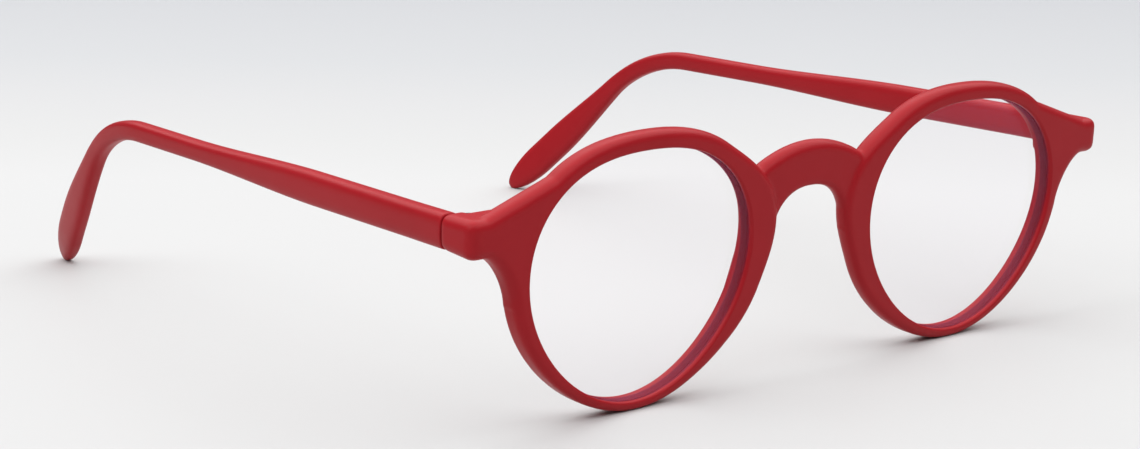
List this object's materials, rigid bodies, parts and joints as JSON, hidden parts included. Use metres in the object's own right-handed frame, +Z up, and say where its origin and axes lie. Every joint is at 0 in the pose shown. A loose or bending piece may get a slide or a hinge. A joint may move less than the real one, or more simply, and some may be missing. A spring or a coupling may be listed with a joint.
{
  "type": "panto eyeglasses",
  "caption": "Full-rim panto eyeglasses with round bridge, clear lenses and folding temples, in satin red acetate, standing open.",
  "frame": {"origin": "middle of the box's underside: on the table, midway between the temples and midway from front to tips", "axes": "+X to the wearer's left, the front faces -Y, temples run towards +Y, +Z up"},
  "size_m": [0.1342, 0.1343, 0.0417],
  "materials": {
    "red_acetate": "satin, tumbled",
    "clear_lens": "clear, polished",
    "nickel_silver": "stamped and tumbled nickel silver",
    "screw_steel": "turned stainless steel"
  },
  "bodies": {
    "front": {"front": "red_acetate", "lens_left": "clear_lens", "lens_right": "clear_lens", "nose_pad_left": "red_acetate", "nose_pad_right": "red_acetate", "front_hinge_leaf_left": "nickel_silver", "front_hinge_leaf_right": "nickel_silver", "hinge_screw_left": "screw_steel", "hinge_screw_right": "screw_steel"},
    "left_temple": {"temple_left": "red_acetate", "core_wire_left": "nickel_silver", "temple_hinge_leaf_left": "nickel_silver"},
    "right_temple": {"temple_right": "red_acetate", "core_wire_right": "nickel_silver", "temple_hinge_leaf_right": "nickel_silver"}
  },
  "joints": [
    {"name": "left_hinge", "type": "hinge", "parent": "front", "child": "left_temple", "pos_m": [0.0621, -0.05978, 0.03006], "axis": [0, 0, 1], "range_deg": [0, 86]},
    {"name": "right_hinge", "type": "hinge", "parent": "front", "child": "right_temple", "pos_m": [-0.0621, -0.05978, 0.03006], "axis": [0, 0, -1], "range_deg": [0, 77]}
  ]
}
